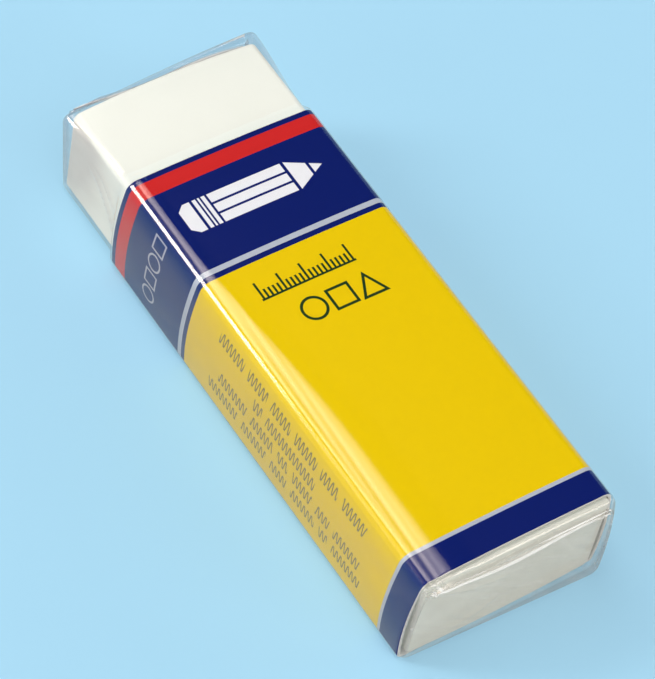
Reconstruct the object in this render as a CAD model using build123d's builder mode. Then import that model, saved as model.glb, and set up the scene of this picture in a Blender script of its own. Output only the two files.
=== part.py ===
from build123d import *
import math
import os

# A white vinyl eraser in a printed card sleeve, sealed in clear shrink film.
# Millimetres. +X runs along the block towards its bare end, +Y across it and +Z up.
# The origin is on the surface that the wrapped eraser lies on, under its middle.

# Vinyl block
block_length = 61.0
block_width = 20.86
block_height = 11.05  # at its long edges
block_crown = 0.35  # rise of the top face from its long edges to its middle
block_bow = 0.2  # how far each end face bulges
block_edge_radius = 0.8
block_end_radius = 0.35

# Card sleeve, a flat tube glued along a lap underneath
card = 0.3
sleeve_length = 50.5
sleeve_setback = 0.3  # from the block's covered end to the sleeve's end
sleeve_headroom = 0.75  # from the block's long top edges to the sleeve's unrounded ones
sleeve_crown = 0.2
sleeve_half_width = 11.33  # at the widest level of its bulging sides
sleeve_widest_level = 4.65
side_bulge_radius = 34.5
top_fold_radius = 1.2
bottom_fold_radius = 0.9
outer_flap_end = -6.0  # Y where the flap underneath ends
inner_flap_end = 3.0  # Y where the flap glued on top of it ends

# Clear film
film = 0.05
film_overhang = 0.85  # from each end of the block to the inside of the film
rim_radius = 0.7
weld_drop = 1.5  # from the top of the sleeve down to the weld across each end
weld_fin = 0.25
weld_thickness = 0.12

# Film ends, where the sides flare into an ear at each end of the weld
covered_flare = 4.5
covered_ear = 0.7
bare_flare = 10.0
bare_ear = 1.1

# Levels
sleeve_floor = film
block_floor = sleeve_floor + 2 * card
block_top = block_floor + block_height
sleeve_corner_level = block_top + sleeve_headroom
sleeve_top = sleeve_corner_level + sleeve_crown
weld_level = sleeve_top - weld_drop

# Halves
half_length = block_length / 2
half_width = block_width / 2


def side_reach(level):
    """Half the sleeve's width at a level, on the circle that its bulging side follows."""
    rise = level - sleeve_widest_level
    return sleeve_half_width - side_bulge_radius + math.sqrt(side_bulge_radius**2 - rise**2)


def wrapped_section(x, skin=0, ear=0):
    """Section of the wrapped block at x: crowned top, bulging sides, flat underside, all grown by skin.

    An ear sweeps each side out to a tip at the weld.
    """
    with BuildSketch(Plane.YZ.offset(x)) as section:
        corner_y = side_reach(sleeve_corner_level)
        foot_y = side_reach(sleeve_floor)
        with BuildLine():
            ThreePointArc((-corner_y, sleeve_corner_level), (0, sleeve_top), (corner_y, sleeve_corner_level))
            for side in (-1, 1):
                shoulder = (side * corner_y, sleeve_corner_level)
                tip = (side * (side_reach(weld_level) + ear), weld_level)
                widest = (side * sleeve_half_width, sleeve_widest_level)
                foot = (side * foot_y, sleeve_floor)
                if ear:
                    Line(shoulder, tip)
                    TangentArc(widest, tip, tangent=(0, 1))
                else:
                    RadiusArc(shoulder, tip, side * side_bulge_radius)
                    RadiusArc(tip, widest, side * side_bulge_radius)
                RadiusArc(widest, foot, side * side_bulge_radius)
            Line((-foot_y, sleeve_floor), (foot_y, sleeve_floor))
        make_face()
        fillet(section.vertices().group_by(Axis.Y)[-1], top_fold_radius)
        fillet(section.vertices().group_by(Axis.Y)[0], bottom_fold_radius)
        if skin:
            offset(amount=skin, kind=Kind.INTERSECTION)
    return section


# Vinyl block: a crowned bar, trimmed to a length with slightly bowed ends
trim_x = half_length - 3 * block_bow  # the bowed trim, at a block's width from the middle
with BuildPart() as eraser_block:
    with BuildSketch(Plane.YZ) as bar:
        with BuildLine():
            ThreePointArc((-half_width, block_top), (0, block_top + block_crown), (half_width, block_top))
            Polyline(
                (half_width, block_top),
                (half_width, block_floor),
                (-half_width, block_floor),
                (-half_width, block_top),
            )
        make_face()
        fillet(bar.vertices(), block_edge_radius)
    extrude(amount=block_length, both=True)
    with BuildSketch(Plane.XY):
        with BuildLine():
            ThreePointArc((trim_x, block_width), (half_length + block_bow, 0), (trim_x, -block_width))
            Line((trim_x, -block_width), (-trim_x, -block_width))
            ThreePointArc((-trim_x, -block_width), (-half_length - block_bow, 0), (-trim_x, block_width))
            Line((-trim_x, block_width), (trim_x, block_width))
        make_face()
    extrude(amount=sleeve_top, mode=Mode.INTERSECT)
    fillet(eraser_block.faces().sort_by(Axis.X)[0].edges(), block_end_radius)
    fillet(eraser_block.faces().sort_by(Axis.X)[-1].edges(), block_end_radius)

# Card sleeve: one thickness of card all round, and two where the flaps are glued together underneath
sleeve_start = sleeve_setback - half_length
with BuildPart() as card_sleeve:
    with BuildSketch(Plane.YZ.offset(sleeve_start)):
        add(wrapped_section(sleeve_start).sketch_local)
        with Locations((outer_flap_end, sleeve_floor)):
            Rectangle(sleeve_half_width, card, align=(Align.MAX, Align.MIN), mode=Mode.SUBTRACT)
        offset(amount=-card, mode=Mode.SUBTRACT)
        with Locations((inner_flap_end, sleeve_floor + card)):
            Rectangle(inner_flap_end - outer_flap_end + card, card, align=(Align.MAX, Align.MIN))
    extrude(amount=sleeve_length)


def wrap(skin=0):
    """The space inside the film, grown by skin: straight along the sleeve, then flared to its flat ends."""
    covered_x = covered_flare - half_length
    bare_x = half_length - bare_flare
    end_depth = film_overhang + skin
    with BuildPart() as body:
        extrude(wrapped_section(covered_x, skin).sketch, amount=bare_x - covered_x)
        for start, end, ear in ((covered_x, -half_length, covered_ear), (bare_x, half_length, bare_ear)):
            mouth = wrapped_section(end, skin, ear).sketch
            loft([wrapped_section(start, skin).sketch.face(), mouth.face()])
            extrude(mouth, amount=math.copysign(end_depth, end))
        fillet(body.faces().sort_by(Axis.X)[0].edges(), rim_radius + skin)
        fillet(body.faces().sort_by(Axis.X)[-1].edges(), rim_radius + skin)
    return body.part


# Clear film: a closed skin with a trimmed weld across each end
film_outside = wrap(film)
film_inside = wrap()
weld_x = half_length + film_overhang
weld_reach = side_reach(weld_level) - rim_radius
with BuildPart() as clear_film:
    add(film_outside)
    add(film_inside, mode=Mode.SUBTRACT)
    with BuildSketch(Plane.XY.offset(weld_level)):
        with Locations((-weld_x, 0), (weld_x, 0)):
            Rectangle(2 * weld_fin, 2 * weld_reach)
    extrude(amount=weld_thickness / 2, both=True)

os.makedirs("parts", exist_ok=True)

eraser_block.part.label = "eraser_block"
export_step(eraser_block.part, "parts/eraser_block.step")

card_sleeve.part.label = "card_sleeve"
export_step(card_sleeve.part, "parts/card_sleeve.step")

clear_film.part.label = "clear_film"
export_step(clear_film.part, "parts/clear_film.step")
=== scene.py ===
import math

import bmesh
import bpy
import numpy as np
from mathutils import Matrix, Quaternion, Vector

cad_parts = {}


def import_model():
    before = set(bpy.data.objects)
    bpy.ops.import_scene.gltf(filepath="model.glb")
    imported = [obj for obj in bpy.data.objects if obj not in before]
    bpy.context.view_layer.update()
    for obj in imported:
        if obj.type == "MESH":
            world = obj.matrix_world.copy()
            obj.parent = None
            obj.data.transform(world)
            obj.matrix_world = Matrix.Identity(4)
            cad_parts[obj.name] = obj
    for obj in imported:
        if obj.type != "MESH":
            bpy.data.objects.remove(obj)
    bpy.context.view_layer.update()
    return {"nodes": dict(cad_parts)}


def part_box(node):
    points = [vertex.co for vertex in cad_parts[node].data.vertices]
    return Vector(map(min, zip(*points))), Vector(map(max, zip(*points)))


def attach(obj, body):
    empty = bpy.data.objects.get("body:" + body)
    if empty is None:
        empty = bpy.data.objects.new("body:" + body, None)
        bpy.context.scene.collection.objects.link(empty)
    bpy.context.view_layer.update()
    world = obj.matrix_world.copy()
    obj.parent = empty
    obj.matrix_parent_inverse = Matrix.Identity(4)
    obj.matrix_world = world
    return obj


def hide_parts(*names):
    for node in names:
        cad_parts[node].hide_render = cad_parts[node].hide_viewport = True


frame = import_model()

# The block lies along X with its bare end at +X. Lengths below are in millimetres.
MM = 0.001
block_low, block_high = (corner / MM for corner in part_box("eraser_block"))
sleeve_low, sleeve_high = (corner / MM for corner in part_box("card_sleeve"))

# Vinyl
VINYL = (0.89, 0.905, 0.82)
VINYL_BLOOM = (0.93, 0.945, 0.865)
VINYL_SPECK = (0.7, 0.69, 0.6)

# Inks and card
NAVY = (0.001, 0.011, 0.145)
RED = (0.66, 0.022, 0.022)
GREY = (0.5, 0.54, 0.62)
YELLOW = (0.87, 0.61, 0.0)
DARK_GREEN = (0.012, 0.045, 0.012)
WHITE = (0.9, 0.9, 0.93)
TEXT_GREY = (0.12, 0.11, 0.07)
CARD = (0.86, 0.84, 0.8)
INK_SHADE = (0.02, 0.02, 0.02)

# Bands round the sleeve, as inks and widths from the bare end towards the covered end
BANDS = (
    (NAVY, 0.4),
    (RED, 1.9),
    (NAVY, 9.74),
    (GREY, 0.59),
    (NAVY, 0.64),
    (YELLOW, 33.77),
    (GREY, 0.32),
    (NAVY, 3.14),
)
TOP_FROM = 11.9  # level from which the sleeve counts as its top
SIDE_FROM = 10.4  # Y from which it counts as its long side

# Pencil on the top: its tip, and its parts as distances from it
PENCIL_X, PENCIL_TIP_Y = 13.95, -7.45
PENCIL_HALF_WIDTH = 1.8
PENCIL_TAPER = 0.53
PENCIL_TIP = (0.0, 3.4)
PENCIL_LEAD_GAP = (1.14, 1.46)
PENCIL_SHAFT = (3.75, 12.05)
PENCIL_GROOVE = (0.49, 0.75)  # distances from the middle line
PENCIL_FERRULE = (12.3, 13.7)
PENCIL_RIBS = ((12.7, 12.9), (13.1, 13.3))
PENCIL_HEAD = (14.0, 15.5)
PENCIL_ROUNDING = (14.3, 0.9, 2.2)  # where the head's corners start, their slope and their reach

# Scale on the top
RULER_X, RULER_Y = 2.6, 1.2
TICK_STEP = 0.5
LONG_TICK_STEP = 2.5
SHORT_TICK = 0.55  # as a share of a long one
COUNT_FROM = 60.0  # ticks are counted from this far off, at a long one

# Rows of outlined shapes, on the top and on the side
SHAPES_X, SHAPES_Y = -0.3, -0.5
BADGE_X, BADGE_LEVEL = 13.7, 7.0
BADGE_STRENGTH = 0.5

# Rows on the long side: level of the row, and its words as distances along the block
SCRIBBLE_STEP = 0.62
SCRIBBLE_STRENGTH = 0.85
SIDE_ROWS = (
    (10.0, ((2.5, -1.6), (-2.4, -5.6), (-6.4, -9.6), (-10.4, -14.0), (-14.8, -17.6), (-18.4, -22.2))),
    (7.7, ((-4.2, -5.6), (-6.4, -14.6))),
    (5.5, ((1.2, -3.6), (-4.4, -8.2), (-9.0, -10.8), (-11.6, -14.8), (-15.6, -17.8), (-18.6, -22.8))),
    (3.2, ((2.6, -2.4), (-3.2, -7.4), (-8.2, -11.0), (-11.8, -15.8), (-16.6, -18.0), (-18.8, -23.4))),
)

# Film along the block
FILM_GAP = 0.08
FILM_FLOOR = 0.01
RIM_RADIUS = 0.6
TOP_FOLD_RADIUS = 0.95
FOOT_FOLD_RADIUS = 0.9
SLEEVE_TOP_EDGE = 12.45
BLOCK_TOP_EDGE = 11.7
BLOCK_END = 30.5
BLOCK_BOW = 0.2
SIDE_BULGE_RADIUS = 34.5
WIDEST_LEVEL = 4.65
RIDGES_START = 5.8  # Y from which the top is modelled finely, for the ridges along its edges
SLEEVE_EASE = (1.2, 1.5)  # lengths over which it comes down from the sleeve, at -X and at +X

# Ridge and streaks along the film's +Y edge, as pairs of values at the bare end and at the covered end
RIDGE_X = (14, -16)  # where it starts to widen and where it stops
RIDGE_Y = (9.2, 7.3)
RIDGE_HALF_WIDTH = (0.9, 2.7)
RIDGE_HEIGHT = (0.16, 0.41)
STREAK_HEIGHT = (0.003, 0.014)
STREAKS_Y = 9.1
STREAKS_HALF_WIDTH = 1.1
STREAK_TURN = 7.5
STREAK_SLANT = 0.03
STREAK_SHIFT = 1.3

# Film over the bare end, where it stands off the block
EARS_START = 23
EAR_REACHES = (0.35, 0.9)  # at -Y and at +Y
TOP_SLACK_START = 22
TOP_SLACK = 0.8
RIM_START = 25
BARE_OVERHANG = 0.35
BARE_OVERHANG_SLACK = 0.65  # more of it towards -Y
BARE_OVERHANG_EAR = 0.3  # more of it in the +Y ear
EAR_Y = (9, 11.2)

# Film over the covered end
NEAR_RISE = 0.5
NEAR_RISE_X = (BLOCK_END - 1, BLOCK_END + 0.5)  # distances from the middle over which it rises
NEAR_OVERHANG = 0.2
NEAR_OVERHANG_SLACK = 0.9  # more of it low down, towards -Y
NEAR_OVERHANG_FADE = 0.8  # how much of that is gone at the top
NEAR_OVERHANG_TOP = 0.3  # more of it at the top

# Film's folds on the bare side, as X and Z of both ends
SIDE_FOLDS = (((26.6, 9.6), (21.4, 3.6)), ((25.6, 10.0), (21.6, 6.4)))
SIDE_FOLD_HEIGHT = 0.24
SIDE_FOLD_BOW = -0.5
SIDE_FOLD_WIDTH = 0.22

# Weld across each end
WELD_HALF_WIDTH = 9.75
WELD_LEVELS = {-1: 11.3, 1: 10.5}
WELD_TILT = 0.03
WELD_WAVE = 0.3
WELD_WAVE_TURN = 0.4
WELD_STAND_OFF = 0.6
WELD_PULL_REACH = 1.1
WELD_THICKNESS = 0.07
WELD_FIN = 0.28
WELD_FIN_PROFILE = ((1.0, 0.6), (0.8, 0.95), (0.0, 1.0))  # shares of its thickness and of its reach
TUCK = (0.62, 0.4, 0.12)  # level above the weld, half width and height of the fold beside it
CAP_GAP = 0.12
RIM_EASE = 0.7  # share of the way from the weld to the rim where the film starts to rise to the rim
FOLDS_EASE = 0.85  # share of that way where its folds start to fade

# Gathers at the +Y and -Y ends of each weld, and one low down at the near end: height, reach and folds
GATHERS = ((0.34, 1.1, 6), (0.2, 0.8, 5))
GATHERED = {-1: 1.0, 1: 0.4}
GATHER_INSET = 0.3
LOW_GATHER = (0.12, 0.6, 5)
LOW_GATHER_PLACE = (-9.2, 2.0)

# Folds across each end: height, Y and Z of both ends, bow and width
END_FOLDS = {
    -1: (
        (0.15, (8.9, 10.6), (0.2, 7.4), 0.5, 0.3),
        (0.12, (8.8, 10.2), (2.2, 6.3), -0.4, 0.25),
        (0.1, (8.4, 9.4), (4.6, 3.2), 0.5, 0.3),
        (0.1, (6.4, 2.4), (0.8, 4.4), 0.4, 0.35),
        (0.17, (-4.4, 9.8), (-9.4, 2.0), 0.3, 0.3),
        (0.1, (-5.6, 9.6), (-9.8, 4.2), 0.2, 0.25),
    ),
    1: (
        (0.08, (-8.6, 9.6), (-2.0, 4.0), 0.6, 0.35),
        (0.07, (8.4, 9.4), (3.0, 3.2), -0.4, 0.3),
        (0.07, (0.6, 9.6), (-4.2, 1.8), 0.5, 0.3),
    ),
}

# Numbers of points and rings that the film is modelled with
TOP_POINTS = 28
RIDGE_POINTS = 46
TOP_FOLD_POINTS = 15
SIDE_POINTS = 40
FOOT_FOLD_POINTS = 8
FOOT_POINTS = 44
TUBE_RINGS = 130
RIM_RINGS = 8
CAP_RINGS = {-1: 62, 1: 42}

# Film's material
FILM_TINT = (0.985, 0.985, 0.985)
NEAR_END_TINT = (0.985, 0.972, 0.955)
VEIL_TINT = (0.87, 0.85, 0.865)
GLOSS_TINT = (1.0, 0.88, 0.78, 1)
# Colour of the film's pale scatter and of its painted reflections
HAZE_AND_REFLECTION_TINT = (0.58, 0.54, 0.46)
SEAL_TINT = (0.98, 0.98, 0.95)
SHINE, SHINE_ASLANT = 0.075, 0.8
END_MARGIN = 0.1
VEIL_START = 21.5
# Level below which the film's sides carry painted reflections
SIDE_REFLECTION_TOP = 10.4
SEAL_DEPTH = 0.9
SEAL_FROM = 9.0
SEAL_STRENGTH = 0.75
# The knot below carries painted glints in its gathered film
KNOT_Y, KNOT_LEVEL = 9.5, 11.8  # where the near weld ends in gathered film
KNOT_RADIUS = 0.9
KNOT_GLINT_STRENGTH = 0.6

CRISP = 0.03  # width of the blur at a sharp edge


class Value:
    """A number that varies over a surface. Sums on values make the nodes that work them out."""

    def __init__(self, tree, socket):
        self.tree = tree
        self.socket = socket

    def math(self, operation, *others):
        node = self.tree.nodes.new("ShaderNodeMath")
        node.operation = operation
        for slot, value in zip(node.inputs, (self, *others)):
            if isinstance(value, Value):
                self.tree.links.new(value.socket, slot)
            else:
                slot.default_value = value
        return Value(self.tree, node.outputs[0])

    def __add__(self, other):
        return self.math("ADD", other)

    def __sub__(self, other):
        return self.math("SUBTRACT", other)

    def __mul__(self, other):
        return self.math("MULTIPLY", other)

    def __truediv__(self, other):
        return self.math("DIVIDE", other)

    def __neg__(self):
        return self * -1.0

    def __abs__(self):
        return self.math("ABSOLUTE")

    def power(self, exponent):
        return self.math("POWER", exponent)

    def zigzag(self, step):
        """Goes from 0 up to the step and down again, over and over."""
        return self.math("PINGPONG", step)

    def least(self, other):
        return self.math("MINIMUM", other)

    def most(self, other):
        return self.math("MAXIMUM", other)

    def over(self, edge, blur=CRISP):
        """1 where the value is over the edge and 0 under it."""
        node = self.tree.nodes.new("ShaderNodeMapRange")
        self.tree.links.new(self.socket, node.inputs["Value"])
        node.inputs["From Min"].default_value = edge - blur / 2
        node.inputs["From Max"].default_value = edge + blur / 2
        return Value(self.tree, node.outputs["Result"])

    def under(self, edge, blur=CRISP):
        return (-self).over(-edge, blur)

    def between(self, low, high):
        """1 where the value is between low and high."""
        return abs(self - (low + high) / 2).under((high - low) / 2)


class Surface:
    """A material under construction: coordinates in millimetres, noise, mixes and its shader."""

    def __init__(self, name):
        self.material = bpy.data.materials.new(name)
        self.material.use_nodes = True
        self.tree = self.material.node_tree
        self.tree.nodes.clear()
        self.output = self.tree.nodes.new("ShaderNodeOutputMaterial")
        self.place = self.tree.nodes.new("ShaderNodeTexCoord").outputs["Object"]
        split = self.tree.nodes.new("ShaderNodeSeparateXYZ")
        self.tree.links.new(self.place, split.inputs[0])
        self.x, self.y, self.z = (Value(self.tree, out) * (1 / MM) for out in split.outputs)
        face = self.tree.nodes.new("ShaderNodeSeparateXYZ")
        normal = self.tree.nodes.new("ShaderNodeNewGeometry").outputs["True Normal"]
        self.tree.links.new(normal, face.inputs[0])
        self.normal_x, self.normal_y, self.normal_z = (Value(self.tree, out) for out in face.outputs)

    def noise(self, size, detail=2.0, stretch=(1, 1, 1), tilt=0.0):
        """Noise from 0 to 1 with features this many millimetres across, times stretch, tilted about X."""
        scale = self.tree.nodes.new("ShaderNodeMapping")
        scale.vector_type = "TEXTURE"
        scale.inputs["Scale"].default_value = [MM * size * s for s in stretch]
        scale.inputs["Rotation"].default_value = (tilt, 0, 0)
        self.tree.links.new(self.place, scale.inputs["Vector"])
        node = self.tree.nodes.new("ShaderNodeTexNoise")
        node.inputs["Scale"].default_value = 1.0
        node.inputs["Detail"].default_value = detail
        self.tree.links.new(scale.outputs[0], node.inputs["Vector"])
        return Value(self.tree, node.outputs["Fac"])

    def mix(self, factor, low, high):
        """The colour low where the factor is 0 and high where it is 1. Each is a socket or three numbers."""
        node = self.tree.nodes.new("ShaderNodeMix")
        node.data_type = "RGBA"
        self.tree.links.new(factor.socket, node.inputs["Factor"])
        for slot, value in ((node.inputs[6], low), (node.inputs[7], high)):
            if isinstance(value, tuple):
                slot.default_value = (*value, 1)
            else:
                self.tree.links.new(value, slot)
        return node.outputs[2]

    def bump(self, height, depth):
        """Relief whose height from 0 to 1 stands for a depth in millimetres."""
        node = self.tree.nodes.new("ShaderNodeBump")
        node.inputs["Distance"].default_value = depth * MM
        self.tree.links.new(height.socket, node.inputs["Height"])
        return node.outputs["Normal"]

    def shader(self, kind, links=(), **numbers):
        node = self.tree.nodes.new(kind)
        for name, number in numbers.items():
            node.inputs[name.replace("_", " ").title().replace("Ior", "IOR")].default_value = number
        for name, socket in dict(links).items():
            self.tree.links.new(socket.socket if isinstance(socket, Value) else socket, node.inputs[name])
        return node.outputs[0]

    def blend(self, factor, first, second):
        """The first shader where the factor is 0 and the second where it is 1."""
        node = self.tree.nodes.new("ShaderNodeMixShader")
        for slot, socket in zip(node.inputs, (factor.socket, first, second)):
            self.tree.links.new(socket, slot)
        return node.outputs[0]

    def finish(self, shader):
        self.tree.links.new(shader, self.output.inputs["Surface"])
        return self.material


def vinyl():
    """White vinyl: soft, with a faint matt bloom and fine specks."""
    s = Surface("white_vinyl")
    bloom = s.noise(6.0, detail=3.0)
    speck = s.noise(0.12, detail=1.0).over(0.72, blur=0.1)
    base = s.mix(speck * 0.2, s.mix(bloom, VINYL, VINYL_BLOOM), VINYL_SPECK)
    relief = s.bump(s.noise(0.35, detail=3.0), depth=0.006)
    shader = s.shader(
        "ShaderNodeBsdfPrincipled",
        {"Base Color": base, "Normal": relief, "Roughness": bloom * 0.2 + 0.5},
        specular_ior_level=0.25,
    )
    return s.finish(shader)


def bands(s):
    """The colour of the printed bands, which run round the sleeve."""
    ramp = s.tree.nodes.new("ShaderNodeValToRGB")
    ramp.color_ramp.interpolation = "CONSTANT"
    length = sum(width for _, width in BANDS)
    stops = ramp.color_ramp.elements
    done = 0.0
    for index, (ink, width) in enumerate(BANDS):
        stop = stops[index] if index < 2 else stops.new(done / length)
        stop.position = done / length
        stop.color = (*ink, 1)
        done += width
    s.tree.links.new(((-s.x + sleeve_high.x) / length).socket, ramp.inputs["Fac"])
    return ramp.outputs["Color"]


def pencil(u, v):
    """A bold pencil with its tip at u = 0 and its head towards +u. Narrow gaps part its pieces."""
    off_line = abs(v)
    body = off_line.under(PENCIL_HALF_WIDTH)
    tip = (off_line - u * PENCIL_TAPER).under(0.0) * u.between(*PENCIL_TIP)
    tip = tip - tip * u.between(*PENCIL_LEAD_GAP)
    shaft = body * u.between(*PENCIL_SHAFT)
    shaft = shaft - shaft * off_line.between(*PENCIL_GROOVE)
    ferrule = body * u.between(*PENCIL_FERRULE)
    for rib in PENCIL_RIBS:
        ferrule = ferrule - ferrule * u.between(*rib)
    corner_start, corner_slope, corner_reach = PENCIL_ROUNDING
    rounded = ((u - corner_start).most(0.0) * corner_slope + off_line).under(corner_reach)
    head = body * u.between(*PENCIL_HEAD) * rounded
    return tip.most(shaft).most(ferrule).most(head)


def round_shape(u, v, size):
    """How far a place is outside a circle. The other shapes are measured in the same way."""
    return (u * u + v * v).power(0.5) - size / 2


def square_shape(u, v, size):
    """A square a little smaller than the size, so that it looks as large as a round shape."""
    return abs(u).most(abs(v)) - size / 2 * 0.92


def pointed_shape(u, v, size):
    """A triangle that points to +v, as high as it is wide."""
    slanted_side = (abs(u) * 2.0 + v - size / 2) / math.sqrt(5)
    return slanted_side.most(-v - size / 2)


def shape_row(u, v, shapes, size, pitch, stroke):
    """Outlined shapes side by side along u, centred on 0."""
    row = None
    for index, shape in enumerate(shapes):
        middle = (index - (len(shapes) - 1) / 2) * pitch
        mark = abs(shape(u - middle, v, size)).under(stroke / 2)
        row = mark if row is None else row.most(mark)
    return row


def ruler(u, v, length, height, stroke):
    """A scale: a line with ticks up from it, every fifth one long."""
    ticks = (u + COUNT_FROM).zigzag(TICK_STEP / 2).under(stroke / 2) * v.under(height * SHORT_TICK)
    long_ticks = (u + COUNT_FROM).zigzag(LONG_TICK_STEP / 2).under(stroke / 2)
    line = v.under(stroke)
    return line.most(ticks).most(long_ticks) * abs(u).under(length / 2) * v.between(0.0, height)


def scribbles(along, level, rows, height, stroke):
    """Rows of a close wave with gaps between its words."""
    turns = along * (2 * math.pi / SCRIBBLE_STEP)
    swing = turns.math("SINE") * (height / 2)
    slope = turns.math("COSINE") * (math.pi * height / SCRIBBLE_STEP)
    half_stroke = (slope * slope + 1.0).power(0.5) * (stroke / 2)
    marks = None
    for row_level, words in rows:
        line = (half_stroke - abs(level - row_level - swing)).over(0.0, blur=0.08)
        cover = None
        for start, end in words:
            word = along.between(end, start)
            cover = word if cover is None else cover.most(word)
        row = line * cover
        marks = row if marks is None else marks.most(row)
    return marks


def printed_card():
    """Card printed with bands and simple shapes, bare inside and on its cut edges, with a fine grain."""
    s = Surface("printed_card")
    on_top = s.z.over(TOP_FROM, blur=0.1)
    on_side = s.y.over(SIDE_FROM, blur=0.1)
    base = s.mix(pencil(s.y - PENCIL_TIP_Y, s.x - PENCIL_X) * on_top, bands(s), WHITE)

    scale = ruler(s.y - RULER_Y, s.x - RULER_X, length=10.5, height=2.2, stroke=0.24)
    row = (round_shape, square_shape, pointed_shape)
    shapes = shape_row(-s.y + SHAPES_Y, s.x - SHAPES_X, row, size=2.5, pitch=3.1, stroke=0.3)
    base = s.mix(scale.most(shapes) * on_top, base, DARK_GREEN)

    row = (round_shape, square_shape, round_shape, square_shape)
    badge = shape_row(s.z - BADGE_LEVEL, s.x - BADGE_X, row, size=1.9, pitch=2.35, stroke=0.22)
    base = s.mix(badge * on_side * BADGE_STRENGTH, base, WHITE)
    text = scribbles(s.x, s.z, SIDE_ROWS, height=1.2, stroke=0.16)
    base = s.mix(text * on_side * SCRIBBLE_STRENGTH, base, TEXT_GREY)

    middle = (sleeve_low.z + sleeve_high.z) / 2
    inward = (s.normal_y * s.y + s.normal_z * (s.z - middle)).under(0.0, blur=0.1)
    cut = abs(s.normal_x).over(0.5)
    base = s.mix(inward.most(cut), base, CARD)
    base = s.mix(s.noise(0.4, detail=4.0) * 0.06, base, INK_SHADE)
    relief = s.bump(s.noise(0.25, detail=3.0), depth=0.004)
    shader = s.shader(
        "ShaderNodeBsdfPrincipled",
        {"Base Color": base, "Normal": relief},
        roughness=0.4,
        specular_ior_level=0.03,
    )
    return s.finish(shader)


def film_plastic():
    """Clear film: see-through and glossy, veiled where it stands off the block, with painted reflections as
    pale cloudy scatter on its sides and painted glints and streaks at its near end.
    """
    s = Surface("clear_film")
    layer = s.tree.nodes.new("ShaderNodeLayerWeight")
    layer.inputs["Blend"].default_value = 0.5
    shine = Value(s.tree, layer.outputs["Facing"]).power(5.0) * SHINE_ASLANT + SHINE

    near_end = s.x.under(-BLOCK_END - END_MARGIN, blur=0.3)
    beyond_sleeve = s.x.over(VEIL_START, blur=1.0).most(near_end)
    past_block = (abs(s.y) - block_high.y).most(s.x - block_high.x)
    under_near_end = (-s.z + block_low.z).least(-s.x - (BLOCK_END - END_MARGIN))
    veil = past_block.most(under_near_end).over(0.2, blur=0.3) * beyond_sleeve
    tint = s.mix(veil, s.mix(near_end, FILM_TINT, NEAR_END_TINT), VEIL_TINT)
    clear = s.shader("ShaderNodeBsdfTransparent", {"Color": tint})

    relief = s.bump(s.noise(3.0, detail=1.0), depth=0.002)
    sharp = s.shader("ShaderNodeBsdfGlossy", {"Normal": relief}, color=GLOSS_TINT, roughness=0.09)
    soft = s.shader("ShaderNodeBsdfGlossy", {"Normal": relief}, color=GLOSS_TINT, roughness=0.22)
    gloss = s.blend(s.noise(8.0) * 0.3 + 0.2, sharp, soft)

    # Painted reflection: pale cloudy scatter on the film's upright sides below a level, standing in for the
    # surroundings mirrored in the wavy film
    upright = abs(s.normal_z).under(0.6, blur=0.4) * s.z.under(SIDE_REFLECTION_TOP, blur=2.4)
    side_reflection_streaks = s.noise(2.0, stretch=(2.5, 1.0, 1.2)).over(0.55, blur=0.25)
    side_reflection_clouds = s.noise(9.0, detail=1.0, stretch=(1.8, 1.0, 0.9)).over(0.46, blur=0.22)
    side_painted_reflection = (side_reflection_streaks * 0.03 + side_reflection_clouds * 0.07 + 0.02) * upright

    # Near end: the film's own pale haze, with lighter diagonal streaks that are painted reflections
    painted_end_streak = s.noise(1.3, detail=1.0, stretch=(1, 5, 0.7), tilt=0.6).over(0.54, blur=0.2) * near_end
    end_haze_and_painted_streaks = near_end * (veil * 0.09 + 0.03) + veil * 0.03 + painted_end_streak * 0.07

    sealed = (abs(s.x) - BLOCK_END).over(SEAL_DEPTH, blur=0.1)
    sealed = sealed * abs(s.y).under(WELD_HALF_WIDTH) * s.z.over(SEAL_FROM)
    # Painted glints: pale flecks in the gathered film where the near weld ends
    past_knot = round_shape(s.y - KNOT_Y, s.z - KNOT_LEVEL, 2 * KNOT_RADIUS)
    glint_flecks = s.noise(0.5, detail=1.0, stretch=(1, 1, 0.4)).over(0.52, blur=0.08)
    knot_glints = past_knot.under(0.0, blur=KNOT_RADIUS) * glint_flecks * near_end

    # Pale scatter over the film: the whitened seal and the end haze, plus the painted reflections, streaks
    # and glints above
    scatter_and_painted_light = side_painted_reflection + end_haze_and_painted_streaks + (sealed * SEAL_STRENGTH).most(knot_glints * KNOT_GLINT_STRENGTH)
    pale = sealed.most(knot_glints).most(painted_end_streak * 0.6)
    scatter = s.shader("ShaderNodeBsdfDiffuse", {"Color": s.mix(pale, HAZE_AND_REFLECTION_TINT, SEAL_TINT)})
    return s.finish(s.blend(scatter_and_painted_light, s.blend(shine, clear, gloss), scatter))


def smooth(value, low, high):
    """0 up to low, 1 from high on, and a smooth step between them."""
    t = np.clip((value - low) / (high - low), 0, 1)
    return t * t * (3 - 2 * t)


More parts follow.
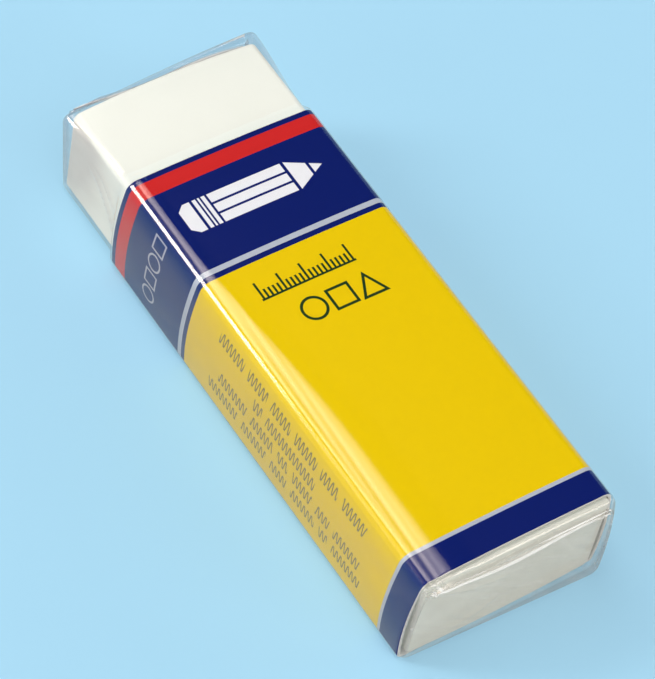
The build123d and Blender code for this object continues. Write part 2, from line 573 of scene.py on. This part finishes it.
def unit_section():
    """A rounded outline of half width 1 and height 1, from the middle of its top round to it again."""
    width, height = sleeve_high.y, SLEEVE_TOP_EDGE
    fold_start = width - TOP_FOLD_RADIUS
    top_turn = np.linspace(0, math.pi / 2, TOP_FOLD_POINTS)
    foot_turn = np.linspace(0, math.pi / 2, FOOT_FOLD_POINTS)
    plain_top = np.linspace(0, RIDGES_START, TOP_POINTS)[:-1]
    top = np.concatenate([plain_top, np.linspace(RIDGES_START, fold_start, RIDGE_POINTS)[:-1]])
    side = np.linspace(height - TOP_FOLD_RADIUS, FOOT_FOLD_RADIUS, SIDE_POINTS)[1:-1]
    foot = np.linspace(width - FOOT_FOLD_RADIUS, 0, FOOT_POINTS)[1:]
    y = [top, fold_start + TOP_FOLD_RADIUS * np.sin(top_turn), np.full(len(side), width)]
    y += [width - FOOT_FOLD_RADIUS * (1 - np.cos(foot_turn)), foot]
    z = [np.full(len(top), height), height - TOP_FOLD_RADIUS * (1 - np.cos(top_turn)), side]
    z += [FOOT_FOLD_RADIUS * (1 - np.sin(foot_turn)), np.zeros(len(foot))]
    y, z = np.concatenate(y) / width, np.concatenate(z) / height
    return np.concatenate([y, -y[-2:0:-1]]), np.concatenate([z, z[-2:0:-1]])


ACROSS, UP = unit_section()


def slack(y):
    """How loose the film lies: 0 at the block's +Y edge and 1 at the other."""
    return (block_high.y - y) / (2 * block_high.y)


def sleeved(x):
    """1 where the film lies on the sleeve and 0 where it lies on the block, eased over the sleeve's ends."""
    low_ease, high_ease = SLEEVE_EASE
    below_end = smooth(-x, -sleeve_high.x - high_ease, -sleeve_high.x)
    return below_end * smooth(x, sleeve_low.x - low_ease, sleeve_low.x)


def crease(a, b, start, end, bow, width):
    """A fold from 0 to 1 high along a bowed line in the plane of a and b, fading towards its ends."""
    way = np.subtract(end, start)
    along = ((a - start[0]) * way[0] + (b - start[1]) * way[1]) / (way @ way)
    aside = ((b - start[1]) * way[0] - (a - start[0]) * way[1]) / math.sqrt(way @ way)
    fade = np.sin(math.pi * np.clip(along, 0, 1))
    return np.exp(-(((aside - bow * fade) / width) ** 2)) * np.sqrt(np.abs(fade))


def half_width(x, z):
    on_sleeve = sleeve_high.y + FILM_GAP - (z - WIDEST_LEVEL) ** 2 / (2 * SIDE_BULGE_RADIUS)
    on_block = block_high.y + FILM_GAP
    low_ear, high_ear = EAR_REACHES
    ear = high_ear * ACROSS.clip(0, 1) + low_ear * (-ACROSS).clip(0, 1)
    ear = ear * smooth(x, EARS_START, BLOCK_END) * z / BLOCK_TOP_EDGE
    folds = sum(crease(x, z, start, end, SIDE_FOLD_BOW, SIDE_FOLD_WIDTH) for start, end in SIDE_FOLDS)
    folds = SIDE_FOLD_HEIGHT * folds * ACROSS.clip(0, 1)
    return on_block + (on_sleeve - on_block) * sleeved(x) + ear + folds


def swell(y, middle, half, height):
    """A smooth ridge that runs along the film at y."""
    return height * (1 + np.cos(math.pi * np.clip((y - middle) / half, -1, 1))) / 2


def edge_ridges(x, y):
    """Where the film bridges the sleeve's +Y fold: a ridge that widens towards -X, with streaks along it."""
    start, stop = RIDGE_X
    near = smooth(-x, -start, -stop)
    pairs = (RIDGE_Y, RIDGE_HALF_WIDTH, RIDGE_HEIGHT, STREAK_HEIGHT)
    middle, half, height, streak_height = (bare + (covered - bare) * near for bare, covered in pairs)
    streaks = np.sin(STREAK_TURN * (y + STREAK_SLANT * x) - STREAK_SHIFT)
    return swell(y, middle, half, height) + streaks * swell(y, STREAKS_Y, STREAKS_HALF_WIDTH, streak_height)


def top_level(x, y):
    crown = 1 - (y / block_high.y) ** 2
    on_sleeve = SLEEVE_TOP_EDGE + FILM_GAP + (sleeve_high.z - SLEEVE_TOP_EDGE) * crown + edge_ridges(x, y)
    on_block = BLOCK_TOP_EDGE + FILM_GAP + (block_high.z - BLOCK_TOP_EDGE) * crown
    on_block = on_block + TOP_SLACK * slack(y) * smooth(x, TOP_SLACK_START, BLOCK_END)
    near = NEAR_RISE * smooth(-x, *NEAR_RISE_X)
    return on_block + near + (on_sleeve - on_block - near) * sleeved(x)


def overhang(end, y, z):
    """How far the film reaches past the end of the block."""
    if end > 0:
        return BARE_OVERHANG + BARE_OVERHANG_SLACK * slack(y) + BARE_OVERHANG_EAR * smooth(y, *EAR_Y)
    height = z / SLEEVE_TOP_EDGE
    loose = NEAR_OVERHANG_SLACK * slack(y) * (1 - NEAR_OVERHANG_FADE * height)
    return NEAR_OVERHANG + loose + NEAR_OVERHANG_TOP * height


def ring(x, inset):
    """Y and Z of the film's points round the block at x, shrunk by inset."""
    z = FILM_FLOOR + inset + UP * (SLEEVE_TOP_EDGE - FILM_FLOOR - 2 * inset)
    y = ACROSS * (half_width(x, z) - inset)
    return y, FILM_FLOOR + inset + UP * (top_level(x, y) - FILM_FLOOR - 2 * inset)


def tube_ring(x):
    y, z = ring(x, 0)
    end = math.copysign(1, x)
    past = (overhang(end, y, z) - RIM_RADIUS) * smooth(abs(x), RIM_START, BLOCK_END)
    return np.stack([x + end * past, y, z], axis=1)


def rim_ring(end, turn):
    inset = RIM_RADIUS * (1 - math.cos(turn))
    y, z = ring(end * BLOCK_END, inset)
    past = overhang(end, y, z) - RIM_RADIUS * (1 - math.sin(turn))
    return np.stack([end * (BLOCK_END + past), y, z], axis=1)


def weld_line(end, y):
    return WELD_LEVELS[end] + WELD_TILT * y + WELD_WAVE * np.cos(WELD_WAVE_TURN * (y - WELD_HALF_WIDTH))


def pucker(y, z, middle, height, reach, folds):
    """Small folds that run out from a point."""
    turn = np.arctan2(z - middle[1], y - middle[0])
    away = np.hypot(y - middle[0], z - middle[1]) / reach
    wave = np.cos(folds * turn + 3 * np.sin(2 * turn)) + 0.5 * np.cos((2 * folds + 1) * turn)
    return height * wave * away * np.exp(-(away**2))


def cap_folds(end, y, z):
    """How far the film over an end stands out in folds from its smooth shape."""
    folds = swell(z - weld_line(end, y), *TUCK) * (np.abs(y) < WELD_HALF_WIDTH)
    for side, gather in zip((1, -1), GATHERS):
        middle = (side * (WELD_HALF_WIDTH - GATHER_INSET), weld_line(end, side * WELD_HALF_WIDTH))
        folds += GATHERED[end] * pucker(y, z, middle, *gather)
    for height, *course in END_FOLDS[end]:
        folds += height * crease(y, z, *course)
    if end < 0:
        folds += pucker(y, z, LOW_GATHER_PLACE, *LOW_GATHER)
    return folds


def cap_rings(end):
    """Rings over an end, from its rim to the weld, which closes in a thin fin."""
    outer = rim_ring(end, math.pi / 2)
    narrowing = WELD_HALF_WIDTH / (block_high.y - RIM_RADIUS)
    weld_y = np.clip(outer[:, 1] * narrowing, -WELD_HALF_WIDTH, WELD_HALF_WIDTH)
    weld_z = weld_line(end, weld_y)
    from_weld = outer[:, 1:] - np.stack([weld_y, weld_z], axis=1)
    distance = np.linalg.norm(from_weld, axis=1)
    way = from_weld / distance[:, None]
    rings = []
    for share in np.linspace(1, 0, CAP_RINGS[end] + 1)[1:-1]:
        reach = np.maximum(distance * share, WELD_THICKNESS + 0.02 * share)
        y = weld_y + way[:, 0] * reach
        z = weld_z + way[:, 1] * reach
        flat = BLOCK_BOW * (1 - (y / block_high.y) ** 2) + CAP_GAP
        depth = flat + (overhang(end, y, z) - flat) * smooth(share, RIM_EASE, 1)
        stand_off = WELD_STAND_OFF * np.exp(-((reach / WELD_PULL_REACH) ** 2)) + cap_folds(end, y, z)
        depth = np.maximum(depth, 0) + stand_off * (1 - smooth(share, FOLDS_EASE, 1))
        rings.append(np.stack([end * (BLOCK_END + depth), y, z], axis=1))
    base = rings[-1]
    for thickness, fin in WELD_FIN_PROFILE:
        y = weld_y + way[:, 0] * WELD_THICKNESS * thickness
        z = weld_z + way[:, 1] * WELD_THICKNESS * thickness
        rings.append(np.stack([base[:, 0] + end * WELD_FIN * fin, y, z], axis=1))
    return rings


def film_rings():
    """Rings of points: over the covered end, along the block and over the bare end."""
    spread = np.sin(np.linspace(-math.pi / 2, math.pi / 2, TUBE_RINGS))
    along = [tube_ring(BLOCK_END * s) for s in spread]
    turns = np.linspace(0, math.pi / 2, RIM_RINGS + 1)[1:]
    near, far = ([rim_ring(end, turn) for turn in turns] + cap_rings(end) for end in (-1, 1))
    return np.array(near[::-1] + along + far)


def grid_mesh(name, rings):
    """A closed mesh from rings whose first and last lie flat on a line."""
    count, around = rings.shape[:2]
    faces = []
    for i in range(count - 1):
        for j in range(around):
            k = (j + 1) % around
            faces.append((i * around + j, i * around + k, (i + 1) * around + k, (i + 1) * around + j))
    mesh = bpy.data.meshes.new(name)
    mesh.from_pydata((rings.reshape(-1, 3) * MM).tolist(), [], faces)
    piece = bpy.data.objects.new(name, mesh)
    bpy.context.scene.collection.objects.link(piece)
    return piece


def close_seams(piece):
    work = bmesh.new()
    work.from_mesh(piece.data)
    bmesh.ops.remove_doubles(work, verts=work.verts, dist=0.002 * MM)
    bmesh.ops.recalc_face_normals(work, faces=work.faces)
    work.to_mesh(piece.data)
    work.free()
    piece.data.shade_smooth()


def clear_film():
    piece = grid_mesh("shrink_film", film_rings())
    close_seams(piece)
    piece.data.materials.append(film_plastic())
    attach(piece, "root")
    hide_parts("clear_film")


def dress(node, material):
    for slot in frame["nodes"][node].material_slots:
        slot.material = material


dress("eraser_block", vinyl())
dress("card_sleeve", printed_card())
clear_film()


# Floor, world, lamps and camera, which aren't part of the object
BACKDROP = (0.392, 0.679, 0.863)
NEUTRAL = (0.5, 0.5, 0.5)
SKY = (0.04, 0.04, 0.04)

# Floor: radius and height of each of its rings in metres, and how evenly it shows its colour
FLOOR_RINGS = (
    (0.25, 0),
    (0.5, 0),
    (0.75, 0),
    (1.0, 0),
    (1.2, 0.02),
    (1.4, 0.08),
    (1.6, 0.19),
    (1.8, 0.38),
    (1.95, 0.62),
    (2.0, 0.85),
    (2.0, 1.1),
)
FLOOR_TURNS = 96
FLOOR_EVENNESS = 0.45

# Each lamp's direction, its width and height as shares of its distance, and its radiance
LAMP_DISTANCE = 1500
LAMPS = {
    "crown": ((-0.55, 0.1, 0.83), 0.6, 0.6, 2.0),
    "key": ((0.53, 0.66, 0.54), 0.22, 0.4, 15.0),
    "side_fill": ((-0.15, 0.95, 0.3), 0.5, 0.45, 1.6),
    "near_fill": ((-0.8, -0.46, 0.38), 0.4, 0.36, 3.4),
    "far_fill": ((-0.3, -0.9, 0.3), 0.5, 0.45, 2.2),
}

# The overhead light is a stack of narrower and narrower lamps, so it fades towards its edges
OVERHEAD_COUNT = 6
OVERHEAD_START, OVERHEAD_START_STEP = -0.25, 0.08
OVERHEAD_END, OVERHEAD_END_STEP = 0.42, 0.03
OVERHEAD_X, OVERHEAD_Z = 0.3, 0.94
OVERHEAD_WIDTH = 0.8
OVERHEAD_RADIANCE = 0.63

# Camera
IMAGE_HEIGHT = 679
FOCAL_LENGTH_PIXELS = 3393
SENSOR = 36.0
CAMERA_DISTANCE = 321.9
CAMERA_AZIMUTH, CAMERA_ELEVATION, CAMERA_ROLL = 226.45, 53.2, 13.0
CAMERA_TARGET = (-0.3, 0.1, 6.0)


def floor():
    """A pale dish: flat under the object, rising to a wall all round."""
    points = [(0.0, 0.0, 0.0)]
    faces = []
    for ring, (radius, height) in enumerate(FLOOR_RINGS):
        for step in range(FLOOR_TURNS):
            angle = 2 * math.pi * step / FLOOR_TURNS
            points.append((radius * math.cos(angle), radius * math.sin(angle), height))
            after = (step + 1) % FLOOR_TURNS
            if ring == 0:
                faces.append((0, 1 + step, 1 + after))
            else:
                inner, outer = 1 + (ring - 1) * FLOOR_TURNS, 1 + ring * FLOOR_TURNS
                faces.append((inner + step, outer + step, outer + after, inner + after))
    mesh = bpy.data.meshes.new("floor")
    mesh.from_pydata(points, [], faces)
    mesh.shade_smooth()
    piece = bpy.data.objects.new("floor", mesh)
    bpy.context.scene.collection.objects.link(piece)

    s = Surface("floor")
    path = s.tree.nodes.new("ShaderNodeLightPath")
    rays = [Value(s.tree, path.outputs[f"Is {kind} Ray"]) for kind in ("Camera", "Glossy", "Transmission")]
    seen = rays[0].most(rays[1]).most(rays[2])
    far_off = (s.x * s.x + s.y * s.y).power(0.5).over(400.0, blur=500.0)
    lit = s.shader("ShaderNodeBsdfDiffuse", {"Color": s.mix(seen, NEUTRAL, BACKDROP)})
    even = s.shader("ShaderNodeEmission", color=(*BACKDROP, 1), strength=1.0)
    evenness = (far_off * (1 - FLOOR_EVENNESS) + FLOOR_EVENNESS) * seen
    mesh.materials.append(s.finish(s.blend(evenness, lit, even)))


def world():
    sky = bpy.data.worlds.new("sky")
    sky.use_nodes = True
    sky.node_tree.nodes["Background"].inputs["Color"].default_value = (*SKY, 1)
    bpy.context.scene.world = sky


def lamp(name, way, width, height, radiance):
    """A soft rectangular lamp that faces the object, with its width along X."""
    way = Vector(way).normalized()
    across = way.cross(Vector((1, 0, 0))).normalized()
    along = across.cross(way)
    light = bpy.data.lights.new(name, "AREA")
    light.shape = "RECTANGLE"
    light.size = width * LAMP_DISTANCE * MM
    light.size_y = height * LAMP_DISTANCE * MM
    light.energy = 4 * radiance * light.size * light.size_y
    piece = bpy.data.objects.new(name, light)
    piece.location = way * LAMP_DISTANCE * MM
    piece.rotation_euler = Matrix((along, across, way)).transposed().to_euler()
    bpy.context.scene.collection.objects.link(piece)


def overhead():
    for step in range(OVERHEAD_COUNT):
        start = OVERHEAD_START + step * OVERHEAD_START_STEP
        end = OVERHEAD_END - step * OVERHEAD_END_STEP
        way = (OVERHEAD_X, (start + end) / 2, OVERHEAD_Z)
        lamp(f"overhead_{step}", way, OVERHEAD_WIDTH, end - start, OVERHEAD_RADIANCE)


def camera():
    """The photograph's view: from the covered end, over the +Y side, with the camera rolled."""
    azimuth, elevation = math.radians(CAMERA_AZIMUTH), math.radians(CAMERA_ELEVATION)
    back = Vector((
        math.sin(azimuth) * math.cos(elevation),
        -math.cos(azimuth) * math.cos(elevation),
        math.sin(elevation),
    ))
    lens = bpy.data.cameras.new("camera")
    lens.sensor_width = SENSOR
    lens.lens = FOCAL_LENGTH_PIXELS * SENSOR / IMAGE_HEIGHT
    lens.clip_start = 10 * MM
    piece = bpy.data.objects.new("camera", lens)
    piece.location = (Vector(CAMERA_TARGET) + back * CAMERA_DISTANCE) * MM
    turn = back.to_track_quat("Z", "Y") @ Quaternion((0, 0, 1), math.radians(CAMERA_ROLL))
    piece.rotation_euler = turn.to_euler()
    bpy.context.scene.collection.objects.link(piece)
    bpy.context.scene.camera = piece


floor()
world()
overhead()
for name, settings in LAMPS.items():
    lamp(name, *settings)
camera()

scene = bpy.context.scene
scene.view_settings.view_transform = "Standard"
